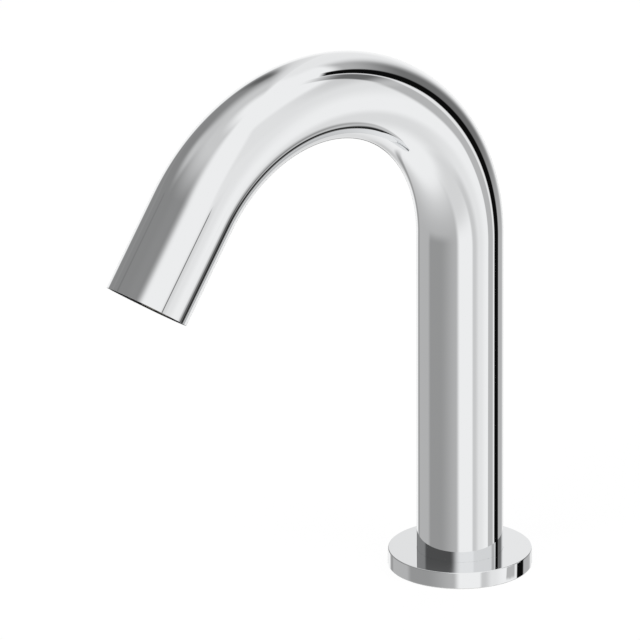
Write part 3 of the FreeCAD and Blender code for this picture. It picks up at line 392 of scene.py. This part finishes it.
# Infrared-passing acrylic, polished: nearly black with a wine tint.
finish("smoked_acrylic", "1a0f12", (0.03, 0.06), patch=6.0)

# Cast epoxy of the diodes: a dark, smooth gloss.
finish("diode_epoxy", "302a3a", (0.04, 0.09), "262030", patch=1.5)

# Potting resin, poured and cured: black with a slightly wavy skin.
finish("black_resin", "121213", (0.16, 0.3), "18181a", patch=3.0, grain=2.0, relief=0.05)

# Glass-epoxy board under green solder mask, with its tracks as paler lines 1 mm apart that
# are joined every 2 mm.
tree, shader, place = finish("circuit_board", "1d6a3c", (0.25, 0.4), patch=3.0)
tracks = add(tree, "ShaderNodeTexBrick",
             {"Vector": place, "Scale": 1 / (4.0 * MM), "Color1": paint("1d6a3c"),
              "Color2": paint("1a6036"), "Mortar": paint("3d8a55"), "Mortar Size": 0.03})
tree.links.new(tracks.outputs["Color"], shader.inputs["Base Color"])

# Moulded packages and plugs: dark grey, matt.
finish("component_black", "232324", (0.4, 0.6), "2e2e30", patch=2.0, grain=0.3, relief=0.01)

# Enamelled copper wire in tight layers: the turns show as ribs about 0.8 mm apart.
copper = finish("copper_winding", "c26a3a", (0.22, 0.34), "a9552c", patch=3.0, Metallic=1.0)
ribs(copper, 0.4, 0.1, Distortion=0.2)

# Soft PVC jacket of the leads: dark grey, satin.
finish("lead_jacket", "2b2b2d", (0.38, 0.52), "343437", patch=4.0, grain=0.4, relief=0.01)

# Extruded silicone hose: off-white, satin.
finish("hose_silicone", "dddcd6", (0.32, 0.45), "d0cfc8", patch=6.0, grain=0.6, relief=0.01)

slot_of = {name: node.material_slots[0].material.name for name, node in frame["nodes"].items()}
for name, node in frame["nodes"].items():
    for holder in node.material_slots:
        holder.material = finishes[slot_of[name]]

# ---------------------------------------------------------------- pieces

# Edges that turn by more than this are sharp.
CREASE = math.radians(32)

# Facets round a turned piece or the tube, and round the bend.
ROUND_STEPS = 144
BEND_STEPS = 110


def close(name, mesh, body, slot, *stands_for, rounding=0.0):
    """Makes a piece from a closed bmesh, smooth but for its sharp edges, which are rounded by
    a width in mm where one is given."""
    bmesh.ops.remove_doubles(mesh, verts=mesh.verts, dist=0.0005 * MM)
    bmesh.ops.recalc_face_normals(mesh, faces=mesh.faces)
    data = bpy.data.meshes.new(name)
    mesh.to_mesh(data)
    mesh.free()
    data.shade_smooth()
    data.set_sharp_from_angle(angle=CREASE)
    data.materials.append(finishes[slot])
    piece = bpy.data.objects.new(name, data)
    bpy.context.scene.collection.objects.link(piece)
    if rounding:
        edges = piece.modifiers.new("edges", "BEVEL")
        edges.width = rounding * MM
        edges.segments = 3
        edges.limit_method = "ANGLE"
        edges.angle_limit = CREASE
        edges.use_clamp_overlap = True
    flats = piece.modifiers.new("flats", "WEIGHTED_NORMAL")
    flats.mode = "FACE_AREA"
    flats.weight = 90
    flats.keep_sharp = True
    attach(piece, body)
    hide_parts(*stands_for)


def turn_ring(outline):
    """A closed outline of (radius, height) corners in mm, spun about the column's axis."""
    mesh = bmesh.new()
    corners = [mesh.verts.new((radius * MM, 0, z * MM)) for radius, z in outline]
    sides = [mesh.edges.new(pair) for pair in zip(corners, corners[1:] + corners[:1])]
    bmesh.ops.spin(mesh, geom=corners + sides, cent=(0, 0, 0), axis=(0, 0, 1),
                   angle=math.tau, steps=ROUND_STEPS, use_merge=True)
    return mesh


def soften(mesh, width, picks):
    """Rounds the sharp edges whose two ends both pass the test."""
    edges = [edge for edge in mesh.edges
             if edge.calc_face_angle(0) > CREASE and all(picks(vert.co) for vert in edge.verts)]
    bmesh.ops.bevel(mesh, geom=edges, offset=width * MM, offset_type="OFFSET", segments=3,
                    affect="EDGES", profile=0.5, material=-1)


def only(kind, parts):
    """The parts of one kind, such as bmesh.types.BMVert, out of an operator's answer."""
    return [part for part in parts if isinstance(part, kind)]


def draw_out(mesh, wall, along, keep=False):
    """Draws end faces out along a vector. Returns the new end faces and their corners. The
    old faces are kept only where they close the other end."""
    moved = bmesh.ops.extrude_face_region(mesh, geom=wall)["geom"]
    corners = only(bmesh.types.BMVert, moved)
    bmesh.ops.translate(mesh, vec=along, verts=corners)
    if not keep:
        bmesh.ops.delete(mesh, geom=wall, context="FACES_ONLY")
    return only(bmesh.types.BMFace, moved), corners


def dress(name, node, body, rounding):
    """A solid with its edges rounded: a copy of its mesh is merged into whole flats first."""
    mesh = bmesh.new()
    mesh.from_mesh(frame["nodes"][node].data)
    bmesh.ops.remove_doubles(mesh, verts=mesh.verts, dist=0.001 * MM)
    bmesh.ops.dissolve_limit(mesh, angle_limit=math.radians(0.5), verts=mesh.verts,
                             edges=mesh.edges)
    close(name, mesh, body, slot_of[node], node, rounding=rounding)


# Spout tube: outer wall and bore are drawn up the column in two lengths, spun round the bend
# and drawn out along the tip. The bore steps out near the open end to a mouth with a thin
# rim, whose two edges have a small round.
TUBE_RADIUS = 15.0
BORE_RADIUS = 13.5
TUBE_FOOT = 2.5
FIRST_LENGTH = 100
BEND_START = 122.5
BEND_RADIUS = 64.0
BEND_ANGLE = math.radians(146)
TIP = 36.5
MOUTH_RADIUS = 14.45
MOUTH_DEPTH = 2.1
RIM_ROUND = 0.06

tube = bmesh.new()
for radius in (TUBE_RADIUS, BORE_RADIUS):
    bmesh.ops.create_circle(tube, segments=ROUND_STEPS, radius=radius * MM,
                            matrix=Matrix.Translation((0, 0, TUBE_FOOT * MM)))
wall = bmesh.ops.bridge_loops(tube, edges=tube.edges[:])["faces"]
wall, corners = draw_out(tube, wall, Vector((0, 0, FIRST_LENGTH * MM)), keep=True)
wall, corners = draw_out(tube, wall, Vector((0, 0, (BEND_START - TUBE_FOOT - FIRST_LENGTH) * MM)))
last = bmesh.ops.spin(tube, geom=wall, cent=(0, -BEND_RADIUS * MM, BEND_START * MM), axis=(1, 0, 0),
                      angle=BEND_ANGLE, steps=BEND_STEPS)["geom_last"]
bmesh.ops.delete(tube, geom=wall, context="FACES_ONLY")
wall = only(bmesh.types.BMFace, last)
forward = Vector((0, -math.sin(BEND_ANGLE), math.cos(BEND_ANGLE)))
wall, corners = draw_out(tube, wall, forward * (TIP - MOUTH_DEPTH) * MM)
wall, corners = draw_out(tube, wall, Vector())
middle = sum((corner.co for corner in corners), Vector()) / len(corners)
inner = [corner for corner in corners if (corner.co - middle).length < (BORE_RADIUS + 0.1) * MM]
for corner in inner:
    corner.co = middle + (corner.co - middle) * (MOUTH_RADIUS / BORE_RADIUS)
wall, corners = draw_out(tube, wall, forward * MOUTH_DEPTH * MM)
end_plane = corners[0].co.dot(forward)
soften(tube, RIM_ROUND, lambda co: abs(co.dot(forward) - end_plane) < 0.001 * MM)
close("chromed_tube", tube, "tap", "chrome", "spout_tube")

# Base flange: turned from its solid's outline, with the two outer edges rounded. Its hole
# fits the tube more closely than the solid's, since the photograph shows no gap there.
HOLE = 15.02
FLANGE_RADIUS = 25.0
flange = turn_ring([
    (14.1, 0), (18.9, 0), (18.9, 1.5), (23.1, 1.5), (23.1, 0), (FLANGE_RADIUS, 0),
    (FLANGE_RADIUS, 6.0), (HOLE, 6.0), (HOLE, 5.1), (16.7, 5.1), (16.7, 3.4), (HOLE, 3.4),
    (HOLE, 2.5), (14.1, 2.5),
])
soften(flange, 0.3, lambda co: co.xy.length > (FLANGE_RADIUS - 0.1) * MM)
close("chromed_flange", flange, "tap", "chrome", "base_flange")


# Rubber and steel at the deck: rings with the rounds that moulding and stamping leave.
def flat_ring(name, node, body, slot, inner_radius, outer_radius, low, high, rounding):
    """A flat ring from a low to a high face, all in mm."""
    ring = turn_ring([(inner_radius, low), (outer_radius, low), (outer_radius, high),
                      (inner_radius, high)])
    close(name, ring, body, slot, node, rounding=rounding)


WASHER_HOLE = 14.3
flat_ring("moulded_deck_seal", "deck_seal", "tap", "black_rubber", 19.0, 23.0, 0.0, 1.5, 0.25)
low, high = (corner.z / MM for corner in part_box("rubber_washer"))
flat_ring("moulded_washer", "rubber_washer", "deck_clamp", "black_rubber",
          WASHER_HOLE, 23.0, low, high, 0.4)
low, high = (corner.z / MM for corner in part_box("clamp_washer"))
flat_ring("pressed_washer", "clamp_washer", "deck_clamp", "zinc_steel",
          WASHER_HOLE, 22.0, low, high, 0.3)

# Threaded shank: a turned core with a plain collar at the top, and the M28 x 1.5 ridge wound
# round it. The ridge sinks into the core at both ends, as a cut thread runs out.
PITCH = 1.5
CREST = 14.0
ROOT = 13.1
THREAD_FOOT = -47.2
THREAD_TOP = -4.9
RUN_OUT = 1.6
RUN_OUT_PAST_END = 0.5
STEPS_A_TURN = 48
# The ridge's section: its foot lies inside the core, and its crest just below the thread's
# outside diameter. Its widths are halved.
RIDGE_FOOT = 12.9
RIDGE_CREST = CREST - 0.02
FOOT_HALF = 0.66
CREST_HALF = 0.1
core = turn_ring([
    (11.0, -47.5), (11.5, -48.0), (12.6, -48.0), (ROOT, -47.5), (ROOT, -4.6), (CREST - 0.1, -3.9),
    (CREST - 0.1, 0.8), (CREST - 0.3, 1.0), (12.05, 1.0), (12.05, -10.0), (11.0, -10.0),
])
profile = [core.verts.new((radius * MM, 0, (THREAD_FOOT + rise) * MM))
           for radius, rise in ((RIDGE_FOOT, -FOOT_HALF), (RIDGE_CREST, -CREST_HALF),
                                (RIDGE_CREST, CREST_HALF), (RIDGE_FOOT, FOOT_HALF))]
section = core.faces.new(profile)
turns = (THREAD_TOP - THREAD_FOOT) / PITCH
steps = round(turns * STEPS_A_TURN)
before = set(core.verts) - set(profile)
bmesh.ops.spin(core, geom=profile + section.edges[:] + [section], cent=(0, 0, 0), axis=(0, 0, 1),
               dvec=(0, 0, (THREAD_TOP - THREAD_FOOT) * MM / steps), angle=math.tau * turns,
               steps=steps)
for corner in set(core.verts) - before:
    rise = corner.co.z / MM
    depth = min(rise - THREAD_FOOT, THREAD_TOP - rise) + RUN_OUT_PAST_END
    reach = (RIDGE_FOOT + (CREST - RIDGE_FOOT) * min(max(depth / RUN_OUT, 0), 1)) * MM
    if corner.co.xy.length > reach:
        corner.co.xy *= reach / corner.co.xy.length
close("threaded_tail", core, "tap", "turned_brass", "threaded_shank")

# The solids that already have their full shape get the small rounds of turning or moulding.
for name, node, body, rounding in (
        ("clamp_nut", "backnut", "backnut", 0.3),
        ("water_foot", "foot", "tap", 0.15),
        ("lead_socket", "power_socket", "tap", 0.15),
        ("spout_insert", "outlet_insert", "tap", 0.08),
        ("aerator_shell", "aerator_housing", "aerator", 0.1),
        ("sensor_lens", "sensor_window", "tap", 0.12)):
    dress(name, node, body, rounding)
